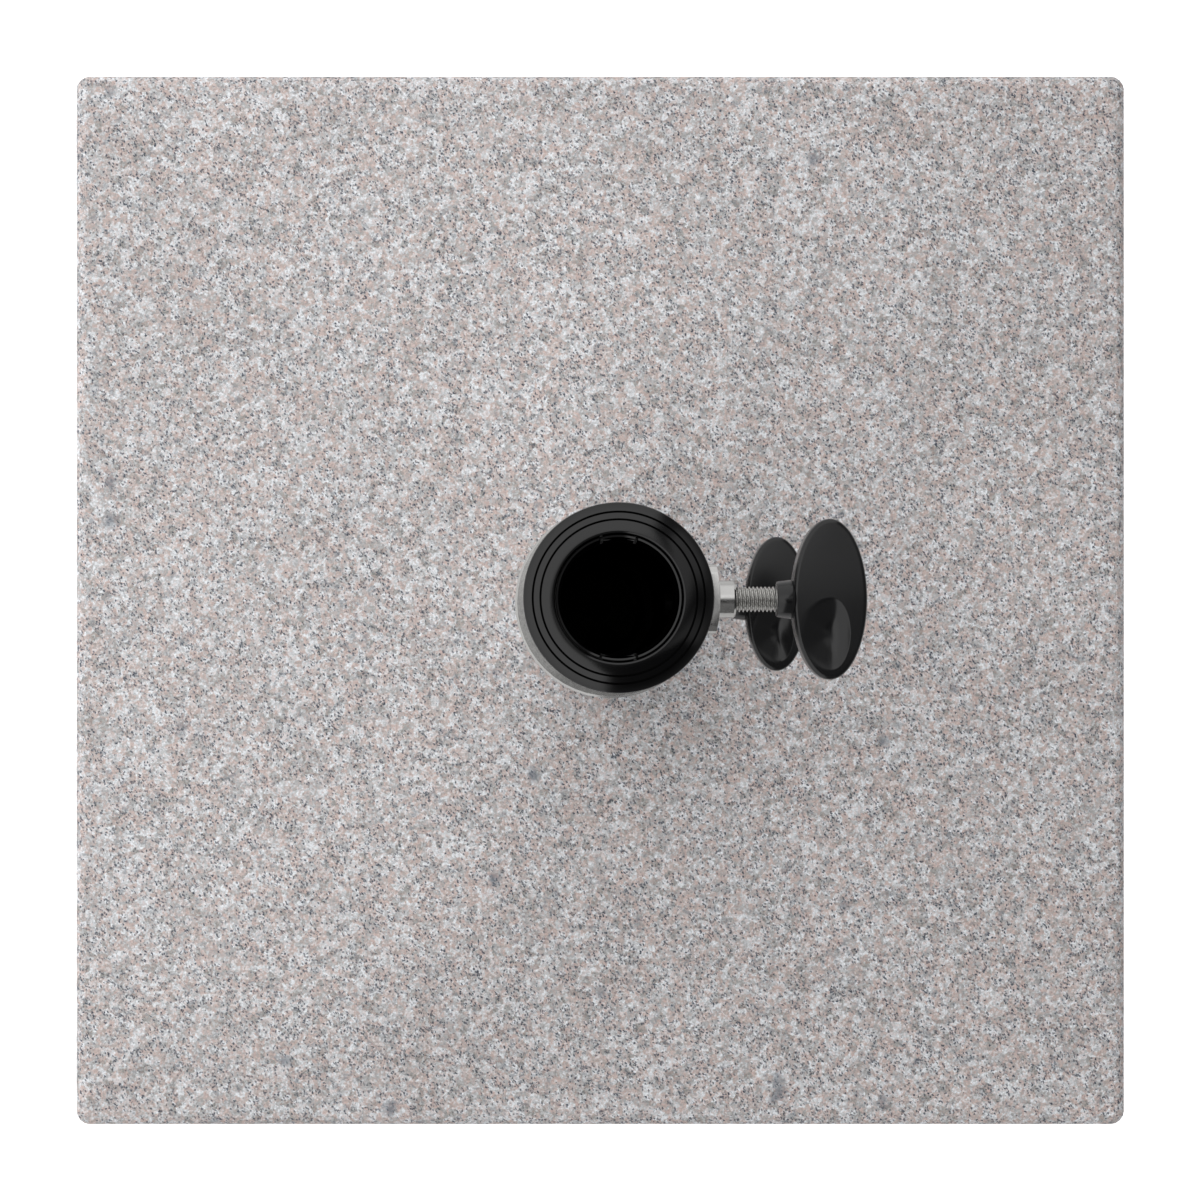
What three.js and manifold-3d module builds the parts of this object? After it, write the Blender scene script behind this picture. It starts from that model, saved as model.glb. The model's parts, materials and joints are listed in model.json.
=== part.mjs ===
// Parasol base: a square granite slab that carries a stainless standpipe with two clamp screws.
// Millimetres, +Z up. The floor is Z = 0 and the origin is under the middle of the slab.
// The clamp screws point along +X.
import * as THREE from "three";
import { mergeVertices } from "three/addons/utils/BufferGeometryUtils.js";
import Module from "manifold-3d";

const wasm = await Module();
wasm.setup();

// Gap left between two pieces that touch in the real object along a curved or a turned face.
const seatGap = 0.3;
// How far a cutting tool runs past the face it cuts.
const overrun = 2;
// How far a solid is sunk into the one that it is joined to.
const joinDepth = 1;
// Sides of a large face, a pipe, a screw-sized cylinder and a hexagon head
const fineSides = 96;
const roundSides = 48;
const smallSides = 24;
const hexagonSides = 6;

// Slab and its rubber feet
const footHeight = 5;
const footRadius = 25;
const footInset = 55;
const slabSide = 500;
const slabThickness = 60;
const slabEdgeRadius = 6;
const slabCornerRadius = 7;
const slabBottom = footHeight;
const slabTop = slabBottom + slabThickness;

// Standpipe, measured up from the slab's top where a height is given
const pipeY = -4;
const pipeRadius = 28.5;
const pipeWall = 2;
const pipeBore = pipeRadius - pipeWall;
const pipeTop = slabTop + 334;

// Foot plate in the recess under the slab
const recessRadius = 75;
const recessDepth = 15;
const recessCeiling = slabBottom + recessDepth;
const plateRadius = 70;
const plateThickness = 6;
const plateBottom = recessCeiling - plateThickness;
const boltCircleRadius = 55;
const boltCount = 4;

// Bolt, washer and anchor of the foot plate, M8
const boltRadius = 4;
const boltHoleRadius = 4.5;
const boltHeadHeight = 5.3;
const boltHeadFlats = 13;
const washerRadius = 8;
const washerThickness = 1.6;
const anchorRadius = 6;
const anchorLength = 30;
const boltEnd = recessCeiling + 26;

// Stiffening sleeve round the lower part of the pipe, and the ring that closes its top
const sleeveRadius = 34;
const sleeveWall = 2.5;
const sleeveBore = sleeveRadius - sleeveWall;
const sleeveRingTop = slabTop + 227;
const sleeveRingHeight = 4.7;
const sleevePlugDepth = 6;
const sleeveTop = sleeveRingTop - sleeveRingHeight - seatGap;

// Cover ring that hides the edge of the drilled hole
const slabHoleRadius = 35.5;
const coverRadius = 38.5;
const coverHeight = 4;
const coverChamfer = 2;

// Pole socket in the foot of the pipe
const socketLipThickness = 2.5;
const socketLipRadius = 27.5;
const socketHeight = 33;
const socketFloor = 7;
const drainRadius = 6;

// Top cap and the reducer sleeve that drops into it
const poleBoreRadius = 19.2;
const capRadius = 28.5;
const capThickness = 3;
const capTop = pipeTop + capThickness;
const capEdgeRadius = 0.9;
const capMouthRadius = 1.4;
const capSpigotLength = 22;
const capLedgeThickness = 2;
const capLedgeRadius = 17.9;
const capGrooveRadii = [25.6, 23.3];
const capGrooveWidth = 0.9;
const capGrooveDepth = 1;
const reducerWall = 1.4;
const reducerTopDrop = 1.2;
const reducerSlotWidth = 0.8;
const reducerSlotLength = 14;
const reducerTongueWidth = 10;

// Clamp screws, M8 with a 1.25 mm pitch
const threadRadius = 4;
const threadPitch = 1.25;
const threadDepth = 0.65;
const threadSides = 12;
const threadRowsPerPitch = 4;
const screwHoleRadius = 4.6;
const bossRadius = 6;
const bossBoreRadius = 4.3;
const bossChamfer = 0.6;
const upperScrew = { z: slabTop + 303, tipX: 24.4, seatX: 32, bossEnd: 37.4 };
const lowerScrew = { z: slabTop + 183, tipX: 20.9, seatX: sleeveRadius, bossEnd: 38.4 };

// Saddle plate under the upper boss
const saddleWidth = 21.6;
const saddleHeight = 22;
const saddleCornerRadius = 3;
const saddleFaceRadius = 45;

// Tip pad that turns freely on the end of each screw
const padRadius = 3.9;
const padLength = 3;
const padSocketDepth = 1.5;
const padSocketRadius = 2.2;

// Knob moulded on each screw: a hub and an oval paddle in the plane of the screw's axis
const hubStartFromTip = 26;
const hubLength = 4.8;
const hubRadiusInner = 5.6;
const hubRadiusOuter = 6.15;
const paddleHalfWidth = 11.65;
const paddleHalfLength = 25.2;
const paddleThickness = 10;
const paddleEdgeRadius = 1.8;
const insertLength = 13;
const insertRadius = 3.3;
const thumbHalfWidth = 6.6;
const thumbHalfLength = 11.4;
const thumbHalfHeight = 5;
const thumbDepth = 2.6;
const thumbOffset = { x: 0.9, y: 10.8 };
const thumbTilt = 0.06;
const thumbSides = 20;
const thumbRows = 14;

const stainless = { color: 0xc4c4c0, roughness: 0.28, metalness: 1 };
const zincSteel = { color: 0xa9adb0, roughness: 0.45, metalness: 1 };
const brass = { color: 0xb59a55, roughness: 0.4, metalness: 1 };
const granite = { color: 0xb3a8a4, roughness: 0.45, metalness: 0 };
const blackPlastic = { color: 0x1b1b1d, roughness: 0.42, metalness: 0 };
const nylon = { color: 0x26262a, roughness: 0.6, metalness: 0 };
const rubber = { color: 0x151515, roughness: 0.9, metalness: 0 };

const assembly = new THREE.Group();
assembly.name = "parasol_base";

// A three.js geometry as a manifold solid with its faces outwards.
function solidOf(geometry) {
  geometry.deleteAttribute("normal");
  geometry.deleteAttribute("uv");
  const merged = mergeVertices(geometry, 1e-4);
  const vertProperties = merged.attributes.position.array;
  const triVerts = new Uint32Array(merged.index.array);
  const made = new wasm.Manifold(new wasm.Mesh({ numProp: 3, vertProperties, triVerts }));
  if (made.volume() > 0) return made;
  triVerts.reverse();
  return new wasm.Manifold(new wasm.Mesh({ numProp: 3, vertProperties, triVerts }));
}

// Adds a solid to the assembly as a named mesh with its own material.
function addPiece(name, solid, look) {
  const { vertProperties, triVerts } = solid.getMesh();
  const geometry = new THREE.BufferGeometry();
  geometry.setAttribute("position", new THREE.BufferAttribute(vertProperties, 3));
  geometry.setIndex(new THREE.BufferAttribute(triVerts, 1));
  geometry.computeVertexNormals();
  const mesh = new THREE.Mesh(geometry, new THREE.MeshStandardMaterial(look));
  mesh.name = name;
  assembly.add(mesh);
}

// Turns a closed profile of [radius, height] points about a vertical axis at (x, y).
function turned(profile, x, y, sides = roundSides) {
  const points = profile.map(([radius, height]) => new THREE.Vector2(radius, height));
  points.push(points[0].clone());
  const geometry = new THREE.LatheGeometry(points, sides);
  return solidOf(geometry.rotateX(Math.PI / 2).translate(x, y, 0));
}

// Turns a closed profile of [radius, x] points about the clamp screw axis at height z.
function turnedAlongX(profile, z, sides = smallSides) {
  const points = profile.map(([radius, x]) => new THREE.Vector2(radius, x));
  points.push(points[0].clone());
  const geometry = new THREE.LatheGeometry(points, sides);
  return solidOf(geometry.rotateZ(-Math.PI / 2).translate(0, pipeY, z));
}

function uprightCylinder(radius, low, high, x, y, sides = roundSides) {
  const geometry = new THREE.CylinderGeometry(radius, radius, high - low, sides);
  return solidOf(geometry.rotateX(Math.PI / 2).translate(x, y, (low + high) / 2));
}

function pipeCylinder(radius, low, high) {
  return uprightCylinder(radius, low, high, 0, pipeY);
}

function cylinderAlongX(radius, fromX, toX, z) {
  const geometry = new THREE.CylinderGeometry(radius, radius, toX - fromX, smallSides);
  return solidOf(geometry.rotateZ(-Math.PI / 2).translate((fromX + toX) / 2, pipeY, z));
}

// Points of a quarter circle in a profile, from angle `start` to `end` in quarter turns.
function quarterArc(centreRadius, centreHeight, radius, start, end, steps = 3) {
  return Array.from({ length: steps + 1 }, (_, i) => {
    const angle = ((start + ((end - start) * i) / steps) * Math.PI) / 2;
    return [centreRadius + radius * Math.cos(angle), centreHeight + radius * Math.sin(angle)];
  });
}

function roundedRectangle(halfWidth, halfHeight, radius) {
  const shape = new THREE.Shape();
  shape.absarc(halfWidth - radius, halfHeight - radius, radius, 0, Math.PI / 2);
  shape.absarc(radius - halfWidth, halfHeight - radius, radius, Math.PI / 2, Math.PI);
  shape.absarc(radius - halfWidth, radius - halfHeight, radius, Math.PI, 1.5 * Math.PI);
  shape.absarc(halfWidth - radius, radius - halfHeight, radius, 1.5 * Math.PI, 2 * Math.PI);
  return shape;
}

// Places of the four plate bolts, on the diagonals of the pipe.
const boltPlaces = Array.from({ length: boltCount }, (_, i) => {
  const angle = ((i + 0.5) / boltCount) * 2 * Math.PI;
  return [boltCircleRadius * Math.cos(angle), pipeY + boltCircleRadius * Math.sin(angle)];
});

function makeSlab() {
  const flatHalf = slabSide / 2 - slabEdgeRadius;
  const outline = roundedRectangle(flatHalf, flatHalf, slabCornerRadius - slabEdgeRadius);
  const block = new THREE.ExtrudeGeometry(outline, {
    depth: slabThickness - 2 * slabEdgeRadius,
    bevelSize: slabEdgeRadius,
    bevelThickness: slabEdgeRadius,
    bevelSegments: 4,
    curveSegments: 2,
  });
  let slab = solidOf(block.translate(0, 0, slabBottom + slabEdgeRadius));
  slab = slab.subtract(pipeCylinder(slabHoleRadius, slabBottom, slabTop + overrun));
  slab = slab.subtract(pipeCylinder(recessRadius, slabBottom - overrun, recessCeiling));
  for (const [x, y] of boltPlaces) {
    const holeTop = recessCeiling + anchorLength + overrun;
    slab = slab.subtract(
      uprightCylinder(anchorRadius + seatGap, slabBottom, holeTop, x, y, smallSides),
    );
  }
  addPiece("granite_slab", slab, granite);
}

function makeFeet() {
  const place = slabSide / 2 - footInset;
  const chamfer = 1.5;
  const profile = [
    [0, 0],
    [footRadius - chamfer, 0],
    [footRadius, chamfer],
    [footRadius, footHeight],
    [0, footHeight],
  ];
  [
    [1, 1],
    [-1, 1],
    [-1, -1],
    [1, -1],
  ].forEach(([sx, sy], i) => {
    addPiece(`rubber_foot_${i + 1}`, turned(profile, sx * place, sy * place, smallSides), rubber);
  });
}

function makeStandpipe() {
  let pipe = pipeCylinder(pipeRadius, plateBottom, pipeTop);
  pipe = pipe.subtract(pipeCylinder(pipeBore, plateBottom - overrun, pipeTop + overrun));
  for (const { z } of [upperScrew, lowerScrew]) {
    pipe = pipe.subtract(cylinderAlongX(screwHoleRadius, 0, pipeRadius + overrun, z));
  }
  addPiece("standpipe", pipe, stainless);
}

function makeSleeve() {
  const bottom = recessCeiling + seatGap;
  let sleeve = pipeCylinder(sleeveRadius, bottom, sleeveTop);
  sleeve = sleeve.subtract(pipeCylinder(sleeveBore, bottom - overrun, sleeveTop + overrun));
  sleeve = sleeve.subtract(
    cylinderAlongX(screwHoleRadius, pipeRadius, sleeveRadius + overrun, lowerScrew.z),
  );
  addPiece("stiffening_sleeve", sleeve, stainless);
}

function makeSleeveRing() {
  const chamfer = 0.8;
  const inner = pipeRadius + seatGap;
  const ringBottom = sleeveTop + seatGap;
  const profile = [
    [inner, sleeveTop - sleevePlugDepth],
    [sleeveBore - seatGap, sleeveTop - sleevePlugDepth],
    [sleeveBore - seatGap, ringBottom],
    [sleeveRadius, ringBottom],
    [sleeveRadius, sleeveRingTop - chamfer],
    [sleeveRadius - chamfer, sleeveRingTop],
    [inner, sleeveRingTop],
  ];
  addPiece("sleeve_ring", turned(profile, 0, pipeY), stainless);
}

function makeFootPlate() {
  let plate = pipeCylinder(plateRadius, plateBottom, recessCeiling);
  const pipeHole = pipeRadius + seatGap;
  plate = plate.subtract(pipeCylinder(pipeHole, plateBottom - overrun, recessCeiling + overrun));
  for (const [x, y] of boltPlaces) {
    const top = recessCeiling + overrun;
    plate = plate.subtract(
      uprightCylinder(boltHoleRadius, plateBottom - overrun, top, x, y, smallSides),
    );
  }
  addPiece("foot_plate", plate, zincSteel);
}

// One bolt from below through its washer and the foot plate into an anchor in the granite.
function makePlateFixing(x, y, number) {
  const washerBottom = plateBottom - washerThickness;
  const headBottom = washerBottom - boltHeadHeight;
  const headRadius = boltHeadFlats / Math.sqrt(3);
  const head = uprightCylinder(headRadius, headBottom, washerBottom, x, y, hexagonSides);
  const shank = uprightCylinder(boltRadius, headBottom + joinDepth, boltEnd, x, y, smallSides);
  addPiece(`plate_bolt_${number}`, head.add(shank), zincSteel);
  const washer = [
    [boltHoleRadius, washerBottom],
    [washerRadius, washerBottom],
    [washerRadius, plateBottom],
    [boltHoleRadius, plateBottom],
  ];
  addPiece(`plate_washer_${number}`, turned(washer, x, y, smallSides), zincSteel);
  const anchorBottom = recessCeiling + seatGap;
  const anchor = [
    [boltRadius + seatGap, anchorBottom],
    [anchorRadius, anchorBottom],
    [anchorRadius, anchorBottom + anchorLength],
    [boltRadius + seatGap, anchorBottom + anchorLength],
  ];
  addPiece(`granite_anchor_${number}`, turned(anchor, x, y, smallSides), brass);
}

function makeCoverRing() {
  const inner = sleeveRadius + seatGap;
  const profile = [
    [inner, slabTop],
    [coverRadius, slabTop],
    [coverRadius, slabTop + coverHeight - coverChamfer],
    [coverRadius - coverChamfer, slabTop + coverHeight],
    [inner, slabTop + coverHeight],
  ];
  addPiece("cover_ring", turned(profile, 0, pipeY), blackPlastic);
}

function makePoleSocket() {
  const lipTop = plateBottom - seatGap;
  const lipBottom = lipTop - socketLipThickness;
  const bodyRadius = pipeBore - seatGap;
  const top = lipBottom + socketHeight;
  const leadIn = 3;
  const profile = [
    [drainRadius, lipBottom],
    [socketLipRadius, lipBottom],
    [socketLipRadius, lipTop],
    [bodyRadius, lipTop],
    [bodyRadius, top],
    [poleBoreRadius + leadIn, top],
    [poleBoreRadius, top - leadIn],
    [poleBoreRadius, lipBottom + socketFloor],
    [drainRadius, lipBottom + socketFloor],
  ];
  addPiece("pole_socket", turned(profile, 0, pipeY), nylon);
}

// Profile points of one square groove in the cap's top face, from the outside in.
function grooveProfile(radius) {
  const outer = radius + capGrooveWidth / 2;
  const inner = radius - capGrooveWidth / 2;
  const floor = capTop - capGrooveDepth;
  return [
    [outer, capTop],
    [outer, floor],
    [inner, floor],
    [inner, capTop],
  ];
}

function makeTopCap() {
  const spigotRadius = pipeBore - seatGap;
  const spigotBottom = pipeTop - capSpigotLength;
  const edge = capTop - capEdgeRadius;
  const mouth = poleBoreRadius + capMouthRadius;
  const profile = [
    [capLedgeRadius, spigotBottom],
    [spigotRadius, spigotBottom],
    [spigotRadius, pipeTop + seatGap],
    [capRadius, pipeTop + seatGap],
    ...quarterArc(capRadius - capEdgeRadius, edge, capEdgeRadius, 0, 1),
    ...capGrooveRadii.flatMap(grooveProfile),
    ...quarterArc(mouth, capTop - capMouthRadius, capMouthRadius, 1, 2),
    [poleBoreRadius, spigotBottom + capLedgeThickness],
    [capLedgeRadius, spigotBottom + capLedgeThickness],
  ];
  addPiece("top_cap", turned(profile, 0, pipeY), blackPlastic);
}

// Split sleeve that narrows the pole bore, with a slotted tongue on each side.
function makeReducer() {
  const outer = poleBoreRadius - seatGap;
  const inner = outer - reducerWall;
  const bottom = pipeTop - capSpigotLength + capLedgeThickness + seatGap;
  const top = capTop - reducerTopDrop;
  const lip = 0.5;
  const profile = [
    [inner, bottom],
    [outer, bottom],
    [outer, top - lip],
    [outer - lip, top],
    [inner + lip, top],
    [inner, top - lip],
  ];
  const slotReach = 2 * (reducerWall + overrun);
  let sleeve = turned(profile, 0, pipeY);
  for (const side of [-1, 1]) {
    for (const end of [-1, 1]) {
      const slot = new THREE.BoxGeometry(reducerSlotWidth, slotReach, reducerSlotLength + overrun);
      const x = (end * reducerTongueWidth) / 2;
      const y = pipeY + side * Math.sqrt(outer ** 2 - x ** 2);
      const z = top + (overrun - reducerSlotLength) / 2;
      sleeve = sleeve.subtract(solidOf(slot.translate(x, y, z)));
    }
  }
  addPiece("reducer_sleeve", sleeve, blackPlastic);
}

function makeSaddle() {
  const outline = roundedRectangle(saddleHeight / 2, saddleWidth / 2, saddleCornerRadius);
  const block = new THREE.ExtrudeGeometry(outline, {
    depth: upperScrew.seatX,
    bevelEnabled: false,
    curveSegments: 2,
  });
  const { z, seatX } = upperScrew;
  let saddle = solidOf(block.rotateY(Math.PI / 2).translate(seatX / 2, pipeY, z));
  const low = z - saddleHeight;
  const high = z + saddleHeight;
  const faceX = seatX - saddleFaceRadius;
  const face = uprightCylinder(saddleFaceRadius, low, high, faceX, pipeY, fineSides);
  saddle = saddle.intersect(face);
  saddle = saddle.subtract(pipeCylinder(pipeRadius + seatGap, low, high));
  saddle = saddle.subtract(cylinderAlongX(screwHoleRadius, 0, seatX + overrun, z));
  addPiece("upper_saddle", saddle, stainless);
}

// Threaded boss welded on at seatX. Its foot follows the round face that it stands on.
function makeBoss(name, screw, faceRadius) {
  const { z, seatX, bossEnd } = screw;
  const foot = seatX - bossRadius;
  const profile = [
    [bossBoreRadius, foot],
    [bossRadius, foot],
    [bossRadius, bossEnd - bossChamfer],
    [bossRadius - bossChamfer, bossEnd],
    [bossBoreRadius, bossEnd],
  ];
  const seat = uprightCylinder(
    faceRadius + seatGap,
    z - 2 * bossRadius,
    z + 2 * bossRadius,
    seatX - faceRadius,
    pipeY,
    fineSides,
  );
  addPiece(name, turnedAlongX(profile, z).subtract(seat), stainless);
}

// Cylinder along X whose surface is drawn in and out to a right-hand thread.
function threadedCylinder(fromX, toX, z) {
  const length = toX - fromX;
  const rows = Math.round((length / threadPitch) * threadRowsPerPitch);
  const geometry = new THREE.CylinderGeometry(
    threadRadius,
    threadRadius,
    length,
    threadSides,
    rows,
  );
  geometry.rotateZ(-Math.PI / 2).translate((fromX + toX) / 2, 0, 0);
  const place = geometry.attributes.position;
  for (let i = 0; i < place.count; i++) {
    const y = place.getY(i);
    const zed = place.getZ(i);
    const turn = Math.atan2(zed, y) / (2 * Math.PI);
    const phase = THREE.MathUtils.euclideanModulo(place.getX(i) / threadPitch - turn, 1);
    const shrink = 1 - (threadDepth * Math.abs(2 * phase - 1)) / threadRadius;
    place.setY(i, y * shrink);
    place.setZ(i, zed * shrink);
  }
  return solidOf(geometry.translate(0, pipeY, z));
}

function makeRod(name, { z, tipX }) {
  const hubStart = tipX + hubStartFromTip;
  const neckStart = tipX + padSocketDepth + seatGap;
  const threadStart = tipX + padLength + seatGap;
  const neck = cylinderAlongX(padSocketRadius - seatGap, neckStart, threadStart + joinDepth, z);
  const insert = cylinderAlongX(insertRadius, hubStart - joinDepth, hubStart + insertLength, z);
  const thread = threadedCylinder(threadStart, hubStart - seatGap, z);
  addPiece(name, thread.add(neck).add(insert), stainless);
}

function makePad(name, { z, tipX }) {
  const chamfer = 0.6;
  const profile = [
    [0, tipX],
    [padRadius - chamfer, tipX],
    [padRadius, tipX + chamfer],
    [padRadius, tipX + padLength],
    [padSocketRadius, tipX + padLength],
    [padSocketRadius, tipX + padSocketDepth],
    [0, tipX + padSocketDepth],
  ];
  addPiece(name, turnedAlongX(profile, z), nylon);
}

// Hollow for the thumb. `side` is 1 for the upper face and -1 for the lower, half a turn away.
function thumbHollow(centreX, z, side) {
  const ball = new THREE.SphereGeometry(1, thumbSides, thumbRows);
  ball.scale(thumbHalfWidth, thumbHalfLength, thumbHalfHeight).rotateZ(thumbTilt);
  const lift = paddleThickness / 2 + thumbHalfHeight - thumbDepth;
  ball.translate(thumbOffset.x, -thumbOffset.y, lift);
  if (side < 0) ball.rotateX(Math.PI);
  return solidOf(ball.translate(centreX, pipeY, z));
}

function makeKnob(name, { z, tipX }) {
  const hubStart = tipX + hubStartFromTip;
  const paddleStart = hubStart + hubLength;
  const centreX = paddleStart + paddleHalfWidth;
  const outline = new THREE.Shape();
  const flatHalfWidth = paddleHalfWidth - paddleEdgeRadius;
  const flatHalfLength = paddleHalfLength - paddleEdgeRadius;
  outline.absellipse(0, 0, flatHalfWidth, flatHalfLength, 0, 2 * Math.PI);
  const paddle = new THREE.ExtrudeGeometry(outline, {
    depth: paddleThickness - 2 * paddleEdgeRadius,
    bevelSize: paddleEdgeRadius,
    bevelThickness: paddleEdgeRadius,
    bevelSegments: 3,
    curveSegments: 20,
  });
  const low = z - paddleThickness / 2 + paddleEdgeRadius;
  const hub = [
    [0, hubStart],
    [hubRadiusInner, hubStart],
    [hubRadiusOuter, paddleStart],
    [hubRadiusOuter, paddleStart + joinDepth],
    [0, paddleStart + joinDepth],
  ];
  let knob = solidOf(paddle.translate(centreX, pipeY, low)).add(turnedAlongX(hub, z));
  const boreEnd = hubStart + insertLength + seatGap;
  knob = knob.subtract(cylinderAlongX(insertRadius + seatGap, hubStart - overrun, boreEnd, z));
  for (const side of [1, -1]) knob = knob.subtract(thumbHollow(centreX, z, side));
  addPiece(name, knob, blackPlastic);
}

makeSlab();
makeFeet();
makeFootPlate();
boltPlaces.forEach(([x, y], i) => makePlateFixing(x, y, i + 1));
makeStandpipe();
makePoleSocket();
makeSleeve();
makeSleeveRing();
makeCoverRing();
makeTopCap();
makeReducer();
makeSaddle();
makeBoss("upper_boss", upperScrew, saddleFaceRadius);
makeBoss("lower_boss", lowerScrew, sleeveRadius);
makeRod("upper_rod", upperScrew);
makeRod("lower_rod", lowerScrew);
makePad("upper_pad", upperScrew);
makePad("lower_pad", lowerScrew);
makeKnob("upper_knob", upperScrew);
makeKnob("lower_knob", lowerScrew);

export default assembly;
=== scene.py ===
"""Parasol base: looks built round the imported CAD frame, and the studio it is seen in."""

import json
import math

import bmesh
import bpy
import numpy as np
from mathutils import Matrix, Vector


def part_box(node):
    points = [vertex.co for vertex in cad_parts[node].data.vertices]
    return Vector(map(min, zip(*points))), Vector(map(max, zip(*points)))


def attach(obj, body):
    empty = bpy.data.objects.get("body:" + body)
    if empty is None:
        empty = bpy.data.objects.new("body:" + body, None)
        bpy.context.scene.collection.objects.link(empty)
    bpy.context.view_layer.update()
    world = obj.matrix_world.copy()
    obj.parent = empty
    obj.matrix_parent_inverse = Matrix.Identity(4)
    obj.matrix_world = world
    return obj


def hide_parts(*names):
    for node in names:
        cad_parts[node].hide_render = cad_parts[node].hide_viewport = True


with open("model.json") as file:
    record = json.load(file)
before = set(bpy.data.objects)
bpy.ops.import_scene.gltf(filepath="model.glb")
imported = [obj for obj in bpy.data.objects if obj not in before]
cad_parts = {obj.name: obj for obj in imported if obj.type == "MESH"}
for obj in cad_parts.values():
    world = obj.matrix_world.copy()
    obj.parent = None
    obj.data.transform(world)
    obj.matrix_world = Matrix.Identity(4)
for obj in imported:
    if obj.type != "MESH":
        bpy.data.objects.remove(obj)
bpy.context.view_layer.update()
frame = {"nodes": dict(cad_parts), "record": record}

MM = 0.001

# Places taken from the frame
slab_low, slab_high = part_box("granite_slab")
pipe_low, pipe_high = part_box("standpipe")
slab_top = slab_high.z
slab_side = slab_high.x - slab_low.x
pipe_axis = Vector(((pipe_low.x + pipe_high.x) / 2, (pipe_low.y + pipe_high.y) / 2, 0))
body_of_node = {
    node: body
    for body, members in frame["record"]["behaviour"]["bodies"].items()
    for node in members
}
slot_of_node = {part["node"]: part["material_slot"] for part in frame["record"]["subparts"]}


# ---------------------------------------------------------------- node material helpers


def fill_ramp(ramp, stops):
    """Sets a colour ramp to `stops`, a list of (place, colour or grey)."""

    def paint(element, colour):
        grey = isinstance(colour, (int, float))
        element.color = (colour, colour, colour, 1) if grey else (*colour, 1)

    first, last = ramp.elements
    first.position = stops[0][0]
    last.position = stops[-1][0]
    paint(first, stops[0][1])
    paint(last, stops[-1][1])
    for place, colour in stops[1:-1]:
        paint(ramp.elements.new(place), colour)


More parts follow.
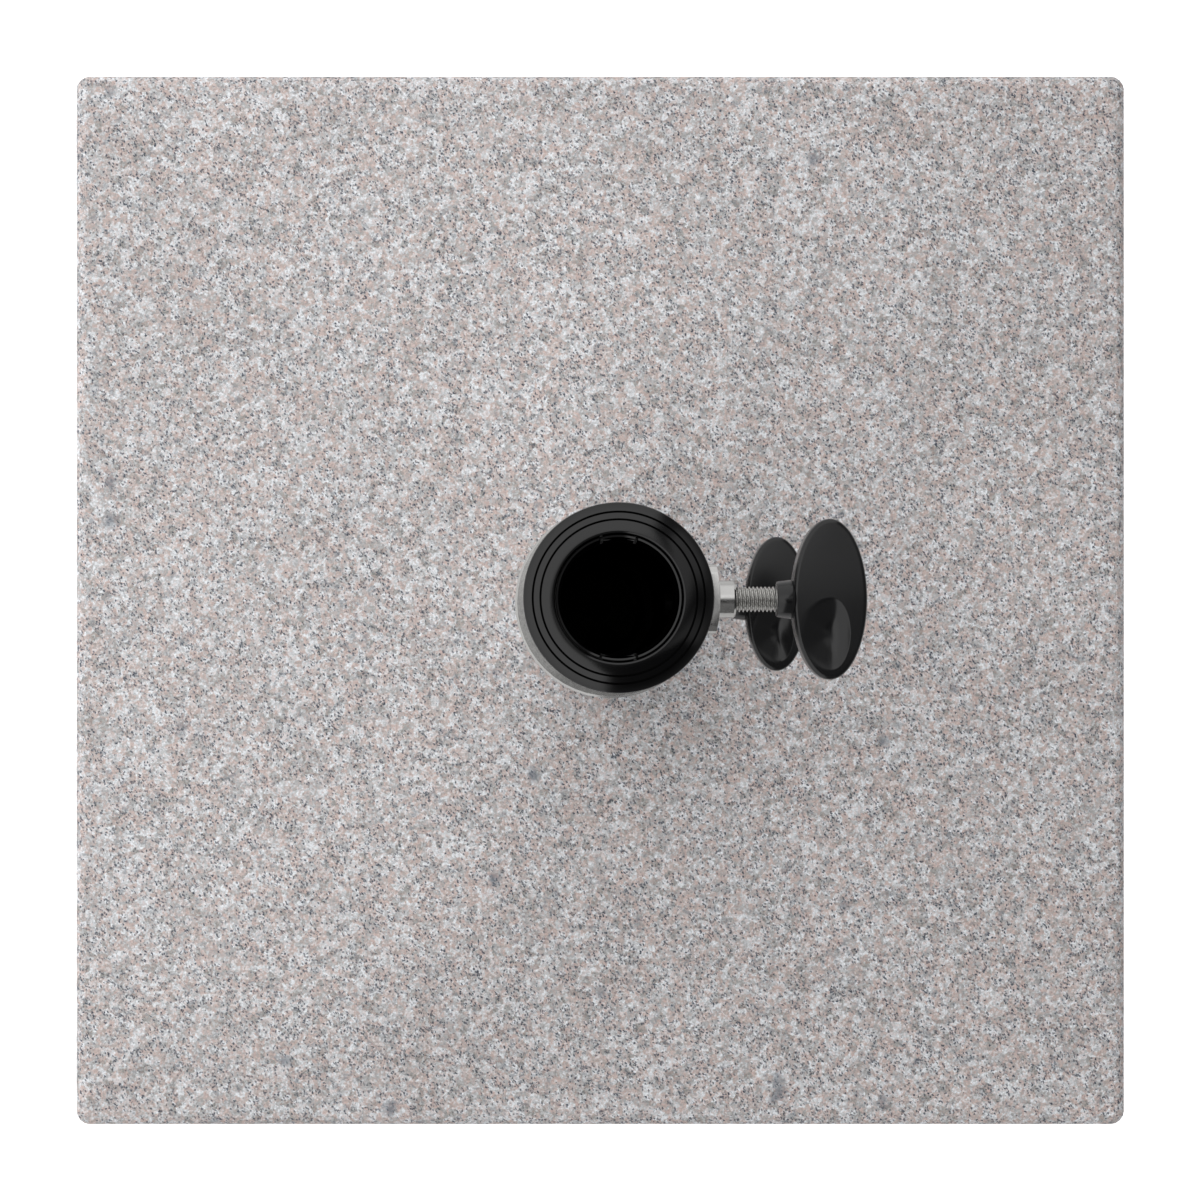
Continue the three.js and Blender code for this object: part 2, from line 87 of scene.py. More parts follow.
class Graph:
    """A node tree. Its methods add nodes, wire their inputs and return an output."""

    def __init__(self, tree, coordinates):
        self.tree = tree
        self.place = self.tree.nodes.new("ShaderNodeTexCoord").outputs[coordinates]

    def wire(self, value, socket):
        if isinstance(value, bpy.types.NodeSocket):
            self.tree.links.new(value, socket)
        else:
            socket.default_value = value

    def wire_colour(self, value, socket):
        self.wire(value if isinstance(value, bpy.types.NodeSocket) else (*value, 1), socket)

    def node(self, kind, **settings):
        made = self.tree.nodes.new(kind)
        for key, value in settings.items():
            setattr(made, key, value)
        return made

    def math(self, operation, a, b=0.0):
        made = self.node("ShaderNodeMath", operation=operation)
        self.wire(a, made.inputs[0])
        self.wire(b, made.inputs[1])
        return made.outputs[0]

    def line(self, value, slope, start):
        """`start` plus `slope` times the value."""
        return self.math("ADD", self.math("MULTIPLY", value, slope), start)

    def product(self, a, b):
        return self.math("MULTIPLY", a, b)

    def split(self):
        """The X, Y and Z outputs of the coordinates."""
        made = self.node("ShaderNodeSeparateXYZ")
        self.wire(self.place, made.inputs[0])
        return made.outputs["X"], made.outputs["Y"], made.outputs["Z"]

    def soft_step(self, value, ends, values):
        """Rises smoothly from the first of `values` to the second as `value` crosses `ends`."""
        made = self.node("ShaderNodeMapRange", interpolation_type="SMOOTHSTEP")
        self.wire(value, made.inputs["Value"])
        made.inputs["From Min"].default_value, made.inputs["From Max"].default_value = ends
        made.inputs["To Min"].default_value, made.inputs["To Max"].default_value = values
        return made.outputs[0]

    def blend(self, factor, a, b):
        """A single value between `a` and `b`."""
        made = self.node("ShaderNodeMix", data_type="FLOAT")
        self.wire(factor, made.inputs[0])
        self.wire(a, made.inputs[2])
        self.wire(b, made.inputs[3])
        return made.outputs[0]

    def stretch(self, scale, turn=0.0):
        """Coordinates scaled by axis, and turned about Z by `turn` degrees before that."""
        turned = self.node("ShaderNodeMapping")
        self.wire(self.place, turned.inputs["Vector"])
        turned.inputs["Rotation"].default_value = (0, 0, math.radians(turn))
        made = self.node("ShaderNodeMapping")
        self.wire(turned.outputs[0], made.inputs["Vector"])
        made.inputs["Scale"].default_value = scale
        return made.outputs[0]

    def noise(self, scale, detail, roughness, vector=None, distortion=0.0, output="Fac"):
        made = self.node("ShaderNodeTexNoise")
        self.wire(self.place if vector is None else vector, made.inputs["Vector"])
        made.inputs["Scale"].default_value = scale
        made.inputs["Detail"].default_value = detail
        made.inputs["Roughness"].default_value = roughness
        made.inputs["Distortion"].default_value = distortion
        return made.outputs[output]

    def cells(self, scale, vector):
        """The node of a field of random cells, for `draw` and for the distance from a cell's middle."""
        made = self.node("ShaderNodeTexVoronoi")
        self.wire(vector, made.inputs["Vector"])
        made.inputs["Scale"].default_value = scale
        return made

    def draw(self, cells, channel):
        """A random number from 0 to 1 for each cell, drawn anew for each channel."""
        made = self.node("ShaderNodeSeparateColor")
        self.wire(cells.outputs["Color"], made.inputs[0])
        return made.outputs[channel]

    def warped(self, amount, scale, vector=None):
        """Coordinates pushed about by noise, so that cell walls turn irregular."""
        shift = self.node("ShaderNodeVectorMath", operation="SUBTRACT")
        push = self.noise(scale, detail=3.0, roughness=0.6, vector=vector, output="Color")
        self.wire(push, shift.inputs[0])
        shift.inputs[1].default_value = (0.5, 0.5, 0.5)
        scaled = self.node("ShaderNodeVectorMath", operation="SCALE")
        self.wire(shift.outputs[0], scaled.inputs[0])
        scaled.inputs["Scale"].default_value = amount
        moved = self.node("ShaderNodeVectorMath", operation="ADD")
        self.wire(self.place if vector is None else vector, moved.inputs[0])
        self.wire(scaled.outputs[0], moved.inputs[1])
        return moved.outputs[0]

    def ramp(self, value, stops, smooth=True):
        """Colour or grey ramp. `stops` is a list of (place, colour or grey)."""
        made = self.node("ShaderNodeValToRGB")
        made.color_ramp.interpolation = "LINEAR" if smooth else "CONSTANT"
        fill_ramp(made.color_ramp, stops)
        self.wire(value, made.inputs["Fac"])
        return made.outputs["Color"]

    def spread(self, noise, low, high):
        """From `low` to `high` over the range that noise really fills."""
        return self.ramp(noise, [(0.3, low), (0.7, high)])

    def mix(self, factor, a, b):
        """A colour between `a` and `b`."""
        return self.mixed("MIX", factor, a, b)

    def tinted(self, a, b):
        """Colour `a` multiplied by colour `b`."""
        return self.mixed("MULTIPLY", 1.0, a, b)

    def mixed(self, blend_type, factor, a, b):
        made = self.node("ShaderNodeMix", data_type="RGBA", blend_type=blend_type)
        self.wire(factor, made.inputs["Factor"])
        self.wire_colour(a, made.inputs["A"])
        self.wire_colour(b, made.inputs["B"])
        return made.outputs["Result"]

    def bump(self, height, strength, distance):
        made = self.node("ShaderNodeBump")
        made.inputs["Strength"].default_value = strength
        made.inputs["Distance"].default_value = distance
        self.wire(height, made.inputs["Height"])
        return made.outputs[0]


class Shader(Graph):
    """One node material."""

    def __init__(self, name):
        self.material = bpy.data.materials.new(name)
        self.material.use_nodes = True
        super().__init__(self.material.node_tree, "Object")
        self.surface = self.tree.nodes["Principled BSDF"]

    def finish(self, colour, roughness, metallic=0.0, normal=None, **extra):
        self.wire_colour(colour, self.surface.inputs["Base Color"])
        self.wire(roughness, self.surface.inputs["Roughness"])
        self.wire(metallic, self.surface.inputs["Metallic"])
        if normal is not None:
            self.wire(normal, self.surface.inputs["Normal"])
        for name, value in extra.items():
            self.wire(value, self.surface.inputs[name.replace("_", " ")])
        return self.material


# ---------------------------------------------------------------- materials

# Minerals of the granite, and the draw from 0 to 1 at which each one starts
QUARTZ = (0.820, 0.835, 0.865)
FELDSPAR = (0.612, 0.504, 0.472)
DEEP_PINK = (0.532, 0.392, 0.358)
GREY_SPAR = (0.500, 0.495, 0.500)
OLIVE_SPAR = (0.320, 0.310, 0.295)
MICA = (0.030, 0.042, 0.070)
STAIN = (0.150, 0.175, 0.210)
GRAINS = [(0.0, QUARTZ), (0.30, FELDSPAR), (0.62, GREY_SPAR), (0.90, OLIVE_SPAR)]
FINE_GRAINS = [
    (0.0, FELDSPAR),
    (0.24, GREY_SPAR),
    (0.46, DEEP_PINK),
    (0.60, QUARTZ),
    (0.86, OLIVE_SPAR),
]
FINE_GRAIN_SHARE = 0.46
# Each set of mica flakes: cells per metre along each axis, its leaning in degrees, and the start of
# its share. A broad noise times MICA_CROWDING adds to that share, so the flakes crowd in places.
MICA_SETS = [
    ((700, 1180, 950), 35, -0.204),
    ((1250, 660, 950), -20, -0.204),
    ((980, 900, 950), 0, -0.207),
]
MICA_CROWDING = 0.60
MICA_BODY = [(0.50, 1.0), (0.66, 0.0)]
STAIN_STRENGTH = 0.50
CLUSTER_SHARE = 0.10
CLUSTER_STRENGTH = 0.70
CLUSTER_CORE = [(0.08, 1.0), (0.27, 0.0)]
# Steel inside the standpipe, within this radius of its axis and half a millimetre into its wall, is
# painted near black and matt as shade.
BORE_SHADE_RADIUS = 27.0 * MM
BORE_PAINTED_SHADE = (0.012, 0.012, 0.012)
BORE_SHADE_ROUGHNESS = 0.7
DUST = (0.10, 0.10, 0.10)
# The floor glows for the camera outside the slab, and under the slab's middle it is painted dark as
# shade.
FLOOR_GLOW = 0.85
GLOW_START = 0.49
PAINTED_SHADE_END = 0.3
FLOOR_PAINTED_SHADE = (0.01, 0.01, 0.01)


def mineral_grains(s):
    """Colour of grains about 3 mm across with finer ones between them, and the finer ones' draw."""
    grains = s.cells(340, s.warped(amount=0.0030, scale=420))
    colour = s.ramp(s.draw(grains, "Red"), GRAINS, smooth=False)
    fine = s.draw(s.cells(980, s.warped(amount=0.0010, scale=1100)), "Green")
    colour = s.mix(FINE_GRAIN_SHARE, colour, s.ramp(fine, FINE_GRAINS, smooth=False))
    return colour, fine


def mica_flakes(s):
    """Small elongated flakes of several leanings, crowded where a broad noise is high."""
    crowd = s.noise(scale=95, detail=3.0, roughness=0.65)
    amount = 0.0
    for cells_per_metre, leaning, share in MICA_SETS:
        lying = s.stretch(cells_per_metre, leaning)
        flakes = s.cells(1.0, s.warped(amount=0.95, scale=2.1, vector=lying))
        depth = s.line(s.draw(flakes, "Green"), slope=0.50, start=0.50)
        limit = s.line(crowd, MICA_CROWDING, share)
        chosen = s.math("LESS_THAN", s.draw(flakes, "Blue"), limit)
        body = s.ramp(flakes.outputs["Distance"], MICA_BODY)
        flake = s.product(s.product(chosen, body), depth)
        amount = s.math("MAXIMUM", amount, flake)
    return amount


def stained(s, colour):
    """Adds ragged blue-grey stains a few millimetres across, and a few larger clusters."""
    stain = s.noise(scale=300, detail=4.0, roughness=0.72, distortion=0.6)
    stain = s.ramp(stain, [(0.56, 0.0), (0.64, 1.0)])
    colour = s.mix(s.product(stain, STAIN_STRENGTH), colour, STAIN)
    clusters = s.cells(60, s.warped(amount=0.008, scale=160))
    chosen = s.math("LESS_THAN", s.draw(clusters, "Red"), CLUSTER_SHARE)
    core = s.ramp(clusters.outputs["Distance"], CLUSTER_CORE)
    return s.mix(s.product(s.product(chosen, core), CLUSTER_STRENGTH), colour, STAIN)


def granite_material():
    """Polished granite: cool quartz, pink feldspar and dark mica, mottled down to half a millimetre."""
    s = Shader("polished_granite")
    colour, fine = mineral_grains(s)
    grit = s.noise(scale=1300, detail=2.0, roughness=0.6)
    colour = s.tinted(colour, s.ramp(grit, [(0.28, 0.76), (0.72, 1.22)]))
    mica = mica_flakes(s)
    colour = stained(s, s.mix(mica, colour, MICA))
    drift = s.noise(scale=9, detail=3.0, roughness=0.6)
    colour = s.tinted(colour, s.spread(drift, 0.95, 1.05))
    rough = s.spread(s.noise(scale=260, detail=3.0, roughness=0.6), 0.36, 0.52)
    relief = s.bump(s.math("SUBTRACT", fine, mica), strength=0.12, distance=0.08 * MM)
    return s.finish(colour, rough, normal=relief)


def inside_tube(s):
    """1 inside the standpipe's bore, where steel gets painted shade, 0 outside it."""
    place_x, place_y, _ = s.split()
    x = s.math("SUBTRACT", place_x, pipe_axis.x)
    y = s.math("SUBTRACT", place_y, pipe_axis.y)
    reach = s.math("SQRT", s.math("ADD", s.product(x, x), s.product(y, y)))
    return s.math("LESS_THAN", reach, BORE_SHADE_RADIUS)


def steel_material(name, colour, grain_scale, rough_low, rough_high, relief=0.10):
    """Brushed metal with its grain along `grain_scale`'s smallest axis, painted near black and matt as
    shade inside the tube.
    """
    s = Shader(name)
    grain = s.noise(scale=1.0, detail=3.0, roughness=0.65, vector=s.stretch(grain_scale))
    cloud = s.noise(scale=45, detail=3.0, roughness=0.55)
    wear_and_shade = s.tinted(colour, s.spread(cloud, 0.93, 1.03))
    uneven = s.math("ADD", s.product(grain, 0.6), s.product(cloud, 0.4))
    rough = s.ramp(uneven, [(0.35, rough_low), (0.65, rough_high)])
    # Inside the bore the colour is painted shade: near black, matt and not metallic.
    bore_shade = inside_tube(s)
    wear_and_shade = s.mix(bore_shade, wear_and_shade, BORE_PAINTED_SHADE)
    rough = s.math("MAXIMUM", rough, s.product(bore_shade, BORE_SHADE_ROUGHNESS))
    normal = s.bump(grain, relief, distance=0.04 * MM)
    return s.finish(wear_and_shade, rough, s.math("SUBTRACT", 1.0, bore_shade), normal)


def plastic_material(name, colour, rough_low, rough_high):
    """Moulded plastic: fine spark-eroded grain, faint dust and uneven gloss."""
    s = Shader(name)
    fine = s.noise(scale=2400, detail=2.0, roughness=0.6)
    cloud = s.noise(scale=70, detail=4.0, roughness=0.6)
    dust = s.noise(scale=900, detail=4.0, roughness=0.75)
    shade = s.tinted(colour, s.spread(cloud, 0.85, 1.15))
    shade = s.mix(s.ramp(dust, [(0.66, 0.0), (0.82, 0.05)]), shade, DUST)
    relief = s.bump(fine, strength=0.10, distance=0.03 * MM)
    return s.finish(shade, s.spread(cloud, rough_low, rough_high), normal=relief)


def rubber_material():
    """Matt black rubber with a coarse grain."""
    s = Shader("foot_rubber")
    fine = s.noise(scale=1500, detail=3.0, roughness=0.7)
    cloud = s.noise(scale=60, detail=3.0, roughness=0.6)
    shade = s.spread(cloud, (0.012, 0.012, 0.012), (0.03, 0.029, 0.028))
    relief = s.bump(fine, strength=0.4, distance=0.1 * MM)
    return s.finish(shade, s.spread(cloud, 0.75, 0.95), normal=relief)


def floor_material():
    """Pale floor. Its glow keeps the backdrop white where the slab shades it."""
    s = Shader("studio_floor")
    tone = s.spread(s.noise(scale=3, detail=2.0, roughness=0.5), 0.88, 0.90)
    x, y, _ = s.split()
    reach = s.math("MAXIMUM", s.math("ABSOLUTE", x), s.math("ABSOLUTE", y))
    # Under the slab's middle the floor gets painted shade, so that none of it shows through the drain
    # hole.
    tone = s.mix(s.math("LESS_THAN", reach, PAINTED_SHADE_END * slab_side), tone, FLOOR_PAINTED_SHADE)
    outside = s.math("GREATER_THAN", reach, GLOW_START * slab_side)
    seen = s.node("ShaderNodeLightPath").outputs["Is Camera Ray"]
    glow = s.product(s.product(outside, seen), FLOOR_GLOW)
    return s.finish(tone, 0.9, Emission_Color=(1, 1, 1, 1), Emission_Strength=glow)


LOOKS = {
    "granite": granite_material(),
    "stainless": steel_material("brushed_stainless", (0.50, 0.495, 0.485), (900, 900, 25), 0.12, 0.20),
    "zinc_steel": steel_material("zinc_plate", (0.55, 0.56, 0.57), (300, 300, 300), 0.35, 0.55),
    "anchor_brass": steel_material("anchor_brass", (0.50, 0.36, 0.14), (400, 400, 60), 0.3, 0.5),
    "black_plastic": plastic_material("satin_black_plastic", (0.0035, 0.0035, 0.004), 0.17, 0.21),
    "nylon": plastic_material("matt_nylon", (0.012, 0.012, 0.013), 0.5, 0.65),
    "rubber": rubber_material(),
}
CAP_LOOK = plastic_material("polished_black_plastic", (0.0012, 0.0012, 0.0014), 0.07, 0.11)
ROD_LOOK = steel_material("rolled_thread", (0.47, 0.465, 0.45), (220, 220, 220), 0.22, 0.28, relief=0.0)


# ---------------------------------------------------------------- pieces

# Facets of the CAD are joined when their corners or planes differ by less than this.
SAME_PLACE = 0.002 * MM
SAME_PLANE_DEGREES = 0.2


def dress(piece, node, look=None):
    """Makes a piece stand for a CAD node: same body and slot, and that slot's material or `look`."""
    slot = slot_of_node[node]
    piece.data.materials.clear()
    piece.data.materials.append(look or LOOKS[slot])
    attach(piece, body_of_node[node])
    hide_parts(node)
    return piece


def new_piece(name, data):
    """A new object in the scene that holds a mesh, a light or a camera."""
    piece = bpy.data.objects.new(name, data)
    bpy.context.scene.collection.objects.link(piece)
    return piece


def smooth_faces(mesh, sharp_above):
    """Shades a mesh round, except at edges that turn by more than `sharp_above` degrees."""
    for face in mesh.polygons:
        face.use_smooth = True
    mesh.set_sharp_from_angle(angle=math.radians(sharp_above))


def smooth_copy(node):
    """The CAD node's own shape with its facets joined and shaded round, not dressed yet."""
    source = bmesh.new()
    source.from_mesh(frame["nodes"][node].data)
    bmesh.ops.remove_doubles(source, verts=source.verts, dist=SAME_PLACE)
    bmesh.ops.dissolve_limit(
        source, angle_limit=math.radians(SAME_PLANE_DEGREES), verts=source.verts, edges=source.edges
    )
    mesh = bpy.data.meshes.new(node + "_look")
    source.to_mesh(mesh)
    source.free()
    smooth_faces(mesh, sharp_above=34)
    return new_piece(node + "_look", mesh)


def plain_piece(node):
    return dress(smooth_copy(node), node)


def grid_mesh(name, points):
    """Mesh from points[row][column]. Columns close into rings, and both end rows are capped."""
    rows, columns = points.shape[:2]
    faces = []
    for r in range(rows - 1):
        row = r * columns
        for c in range(columns):
            d = (c + 1) % columns
            faces.append((row + c, row + d, row + columns + d, row + columns + c))
    faces.append(tuple(range(columns - 1, -1, -1)))
    last = (rows - 1) * columns
    faces.append(tuple(range(last, last + columns)))
    mesh = bpy.data.meshes.new(name)
    mesh.from_pydata(points.reshape(-1, 3).tolist(), [], faces)
    mesh.update()
    return mesh


# Clamp screws: a threaded rod with a plain neck in the tip pad and a plain insert in the knob
PITCH = 1.25 * MM
THREAD_DEPTH = 0.68 * MM
CREST_RADIUS = 4.0 * MM
CORE_RADIUS = CREST_RADIUS - THREAD_DEPTH
NECK_RADIUS = 1.9 * MM
INSERT_RADIUS = 3.3 * MM
THREAD_GAP = 0.3 * MM
TIP_FLAT = 0.1 * MM
SHOULDER = 0.001 * MM
THREAD_COLUMNS = 64
ROWS_PER_PITCH = 14
CREST_SHARE = 0.16
ROOT_SHARE = 0.20


def thread_depth_at(phase):
    """Depth below the crest across one pitch: a flat crest, two flanks and a flat root."""
    flank = (1 - CREST_SHARE - ROOT_SHARE) / 2
    from_crest = np.abs(phase - 0.5)
    climb = np.clip((from_crest - CREST_SHARE / 2) / flank, 0, 1)
    return THREAD_DEPTH * climb


def rod_places(node):
    """Places along X where the rod changes: neck start, thread start, thread end, insert end."""
    _, pad_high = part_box(node.replace("rod", "pad"))
    rod_low, rod_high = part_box(node)
    knob_low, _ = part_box(node.replace("rod", "knob"))
    return rod_low.x, pad_high.x + THREAD_GAP, knob_low.x - THREAD_GAP, rod_high.x


def thread_rings(start, end, angle):
    """Rings of the thread, which runs out to a chamfer at the tip."""
    rows = int((end - start) / PITCH * ROWS_PER_PITCH)
    along, turn = np.meshgrid(np.linspace(start, end, rows), angle, indexing="ij")
    phase = np.mod(along / PITCH - turn / (2 * math.pi), 1.0)
    tip_limit = CORE_RADIUS + np.clip(along - start - TIP_FLAT, 0, None)
    radius = np.minimum(CREST_RADIUS - thread_depth_at(phase), tip_limit)
    return np.stack([along, radius * np.cos(turn), radius * np.sin(turn)], -1)


def threaded_rod(node):
    low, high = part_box(node)
    axis = np.array([0, (low.y + high.y) / 2, (low.z + high.z) / 2])
    neck_start, thread_start, thread_end, insert_end = rod_places(node)
    angle = np.linspace(0, 2 * math.pi, THREAD_COLUMNS, endpoint=False)

    def ring(at, r):
        return np.stack([np.full_like(angle, at), r * np.cos(angle), r * np.sin(angle)], -1)[None]

    points = np.concatenate(
        [
            ring(neck_start, NECK_RADIUS),
            ring(thread_start - SHOULDER, NECK_RADIUS),
            ring(thread_start - SHOULDER, CORE_RADIUS),
            thread_rings(thread_start, thread_end, angle),
            ring(thread_end + SHOULDER, INSERT_RADIUS),
            ring(insert_end, INSERT_RADIUS),
        ]
    )
    mesh = grid_mesh(node + "_look", points + axis)
    smooth_faces(mesh, sharp_above=40)
    return dress(new_piece(node + "_look", mesh), node, ROD_LOOK)


# Knob: an oval paddle with a thumb scoop on each face, half a turn apart, and a hub
KNOB_EDGE = 1.3 * MM
KNOB_HALF_WIDTH = 11.65 * MM
KNOB_HALF_THICK = 5.0 * MM
KNOB_CROWN_ACROSS = 0.12 * MM
KNOB_CROWN_ALONG = 0.85 * MM
KNOB_COLUMNS = 260
KNOB_RINGS = 120
KNOB_EDGE_STEPS = 8
KNOB_MIDDLE = 0.004
SCOOP_CENTRE = (0.1 * MM, -10.8 * MM)
SCOOP_REACH = (6.1 * MM, 11.4 * MM)
SCOOP_LEFT_STRETCH = 1.62
SCOOP_DEPTH = 2.2 * MM
# The scoop's rim turns from crisp on the right to soft on the left, and its floor stays plain.
SCOOP_RIM_SOFTNESS = (1.0, 1.9)
SCOOP_RIM_TURN = 0.9
SCOOP_FLOOR_REACH = 0.5
SCOOP_SMALLEST_REACH = 0.05
HUB_RADII = (5.6 * MM, 6.15 * MM)
HUB_BORE = 3.7 * MM
HUB_LIP = 0.45 * MM
HUB_LIP_BEVEL = 0.13 * MM
HUB_COLUMNS = 120
# The hub's root by distance into the paddle, and how much thinner it is there
HUB_ROOT = [
    (-0.2 * MM, 0.0),
    (0.4 * MM, 0.25 * MM),
    (1.1 * MM, 1.3 * MM),
    (2.2 * MM, 4.0 * MM),
]


def scoop_depth(x, y):
    """Depth of the thumb scoop: a crisp rim on the right and a long gentle rise to the left."""
    u = (x - SCOOP_CENTRE[0]) / SCOOP_REACH[0]
    v = (y - SCOOP_CENTRE[1]) / SCOOP_REACH[1]
    u = np.where(u < 0, u / SCOOP_LEFT_STRETCH, u)
    reach = np.hypot(u, v)
    inside = np.clip(1 - reach**2, 0, None)
    leftness = np.clip(0.5 - SCOOP_RIM_TURN * u / np.maximum(reach, SCOOP_SMALLEST_REACH), 0, 1)
    crisp, soft = SCOOP_RIM_SOFTNESS
    softness = (soft - crisp) * leftness * np.clip(reach / SCOOP_FLOOR_REACH, 0, 1)
    return SCOOP_DEPTH * inside ** (crisp + softness)


def knob_rings(half_length):
    """Half width, half length and fall of each ring of a face, from its middle out round its edge."""
    flat_width = KNOB_HALF_WIDTH - KNOB_EDGE
    flat_length = half_length - KNOB_EDGE
    shares = np.linspace(KNOB_MIDDLE, 1, KNOB_RINGS)
    rings = [(flat_width * share, flat_length * share, 0.0) for share in shares]
    for step in range(1, KNOB_EDGE_STEPS + 1):
        lean = step / KNOB_EDGE_STEPS * math.pi / 2
        out = KNOB_EDGE * math.sin(lean)
        rings.append((flat_width + out, flat_length + out, KNOB_EDGE * (1 - math.cos(lean))))
    return rings


def knob_face(half_length):
    """Points of the upper face about the knob's centre, with its slight crown and thumb scoop."""
    turn = np.linspace(0, 2 * math.pi, KNOB_COLUMNS, endpoint=False)
    width, length, fall = (np.array(column)[:, None] for column in zip(*knob_rings(half_length)))
    x = width * np.cos(turn)
    y = length * np.sin(turn)
    crown = KNOB_CROWN_ACROSS * (x / KNOB_HALF_WIDTH) ** 2 + KNOB_CROWN_ALONG * (y / half_length) ** 2
    return np.stack([x, y, KNOB_HALF_THICK - fall - crown - scoop_depth(x, y)], -1)


def knob_piece(node):
    low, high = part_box(node)
    rod_low, rod_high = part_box(node.replace("knob", "rod"))
    centre = np.array([high.x - KNOB_HALF_WIDTH, (low.y + high.y) / 2, (rod_low.z + rod_high.z) / 2])
    upper = knob_face((high.y - low.y) / 2)
    # The lower face is the upper one turned half round the screw's axis, which reverses its rings.
    lower = upper[::-1, (-np.arange(KNOB_COLUMNS)) % KNOB_COLUMNS] * (1, -1, -1)
    points = np.concatenate([upper, lower]) + centre
    mesh = grid_mesh(node + "_look", points[::-1])
    smooth_faces(mesh, sharp_above=50)
    knob = new_piece(node + "_look", mesh)
    join_into(knob, hub_mesh(node, low.x, centre))
    return dress(knob, node)


def lathe_rings(profile, columns, place):
    """Rings of points for a [distance along the axis, radius] profile. `place` sets the axis."""
    turn = np.linspace(0, 2 * math.pi, columns, endpoint=False)
    return np.array([place(along, r * np.cos(turn), r * np.sin(turn)) for along, r in profile])


def hub_mesh(node, start, centre):
    """The hub from its bevelled end at `start` to its root inside the paddle."""
    inner, outer = HUB_RADII
    paddle_start = centre[0] - KNOB_HALF_WIDTH
    profile = [
        (start, HUB_BORE),
        (start, inner - HUB_LIP),
        (start + HUB_LIP_BEVEL, inner - HUB_LIP_BEVEL),
        (start + HUB_LIP, inner),
    ]
    profile += [(paddle_start + into, outer - thinner) for into, thinner in HUB_ROOT]

    def place(x, a, b):
        return np.stack([np.full_like(a, x), a + centre[1], b + centre[2]], -1)

    mesh = grid_mesh(node + "_hub", lathe_rings(profile, HUB_COLUMNS, place))
    smooth_faces(mesh, sharp_above=40)
    return mesh


def join_into(piece, mesh):
    """Adds another mesh to a piece."""
    build = bmesh.new()
    build.from_mesh(piece.data)
    build.from_mesh(mesh)
    build.to_mesh(piece.data)
    build.free()


# Top cap: its flange falls away a little towards the rim
CAP_FALL_DEGREES = 9
CAP_FALL = math.tan(math.radians(CAP_FALL_DEGREES))
CAP_LAND_RADIUS = 20.2 * MM
CAP_EDGE = 0.9 * MM
CAP_GROOVES = (25.6 * MM, 23.3 * MM)
CAP_GROOVE_WIDTH = 0.62 * MM
CAP_GROOVE_DEPTH = 1.3 * MM
CAP_MOUTH = 0.7 * MM
CAP_BORE = 19.2 * MM
CAP_LEDGE = 17.9 * MM
CAP_LEDGE_THICKNESS = 2.0 * MM
CAP_SPIGOT_RADIUS = 26.2 * MM
CAP_FLANGE_THICKNESS = 2.7 * MM
CAP_COLUMNS = 360
CAP_EDGE_STEPS = 6
CAP_MOUTH_STEPS = 8


def arc_points(radius_centre, height_centre, radius, start, end, steps):
    """Points of an arc in a lathe profile as (height, radius), angles in degrees from outwards."""
    angles = np.radians(np.linspace(start, end, steps + 1))
    return [
        (height_centre + radius * math.sin(angle), radius_centre + radius * math.cos(angle))
        for angle in angles
    ]


def groove_points(face, groove):
    """A groove with a V floor, cut square into the cap's face."""
    outer = groove + CAP_GROOVE_WIDTH / 2
    inner = groove - CAP_GROOVE_WIDTH / 2
    floor = face(groove) - CAP_GROOVE_DEPTH
    return [
        (face(outer), outer),
        (floor, outer),
        (floor - CAP_GROOVE_WIDTH / 2, groove),
        (floor, inner),
        (face(inner), inner),
    ]


def cap_profile(low_z, top, rim):
    """The cap's outline as (height, radius), from its bottom up the outside and down the bore."""

    def face(radius):
        return top - CAP_FALL * max(radius - CAP_LAND_RADIUS, 0)

    flange_bottom = top - CAP_FLANGE_THICKNESS
    ledge_top = low_z + CAP_LEDGE_THICKNESS
    flat = rim - CAP_EDGE
    profile = [
        (low_z, CAP_LEDGE),
        (low_z, CAP_SPIGOT_RADIUS),
        (flange_bottom, CAP_SPIGOT_RADIUS),
        (flange_bottom, rim),
    ]
    edge_centre = face(flat) - CAP_EDGE
    profile += arc_points(flat, edge_centre, CAP_EDGE, 0, 90 - CAP_FALL_DEGREES, CAP_EDGE_STEPS)
    for groove in CAP_GROOVES:
        profile += groove_points(face, groove)
    profile += arc_points(CAP_BORE + CAP_MOUTH, top - CAP_MOUTH, CAP_MOUTH, 90, 180, CAP_MOUTH_STEPS)
    profile += [(ledge_top, CAP_BORE), (ledge_top, CAP_LEDGE)]
    return profile


def cap_piece(node):
    low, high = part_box(node)
    profile = cap_profile(low.z, high.z, (high.x - low.x) / 2)

    def place(z, a, b):
        return np.stack([a + pipe_axis.x, b + pipe_axis.y, np.full_like(a, z)], -1)

    mesh = ring_mesh(node + "_look", lathe_rings(profile, CAP_COLUMNS, place))
    smooth_faces(mesh, sharp_above=30)
    return dress(new_piece(node + "_look", mesh), node, CAP_LOOK)


def ring_mesh(name, points):
    """Closed ring-shaped mesh: the last row of points joins on to the first."""
    rows, columns = points.shape[:2]
    faces = []
    for r in range(rows):
        row = r * columns
        below = ((r + 1) % rows) * columns
        for c in range(columns):
            d = (c + 1) % columns
            faces.append((row + c, row + d, below + d, below + c))
    mesh = bpy.data.meshes.new(name)
    mesh.from_pydata(points.reshape(-1, 3).tolist(), [], faces)
    build = bmesh.new()
    build.from_mesh(mesh)
    bmesh.ops.recalc_face_normals(build, faces=build.faces)
    build.to_mesh(mesh)
    build.free()
    return mesh


# Reducer sleeve: its wall slopes steeply down into the bore under a thin bevelled lip
SLEEVE_TOP_FALLS = (0.3 * MM, 2.2 * MM)
SLEEVE_TOP_BAND = 0.1 * MM
LIP_OUTER_RADIUS = 18.65 * MM
LIP_INNER_RADIUS = 18.1 * MM
LIP_FALL = 0.3 * MM
LIP_HEIGHT = 1.8 * MM
LIP_STEPS = 90
SLIT_DEGREES = 73
SLIT_HALF_DEGREES = 1.3


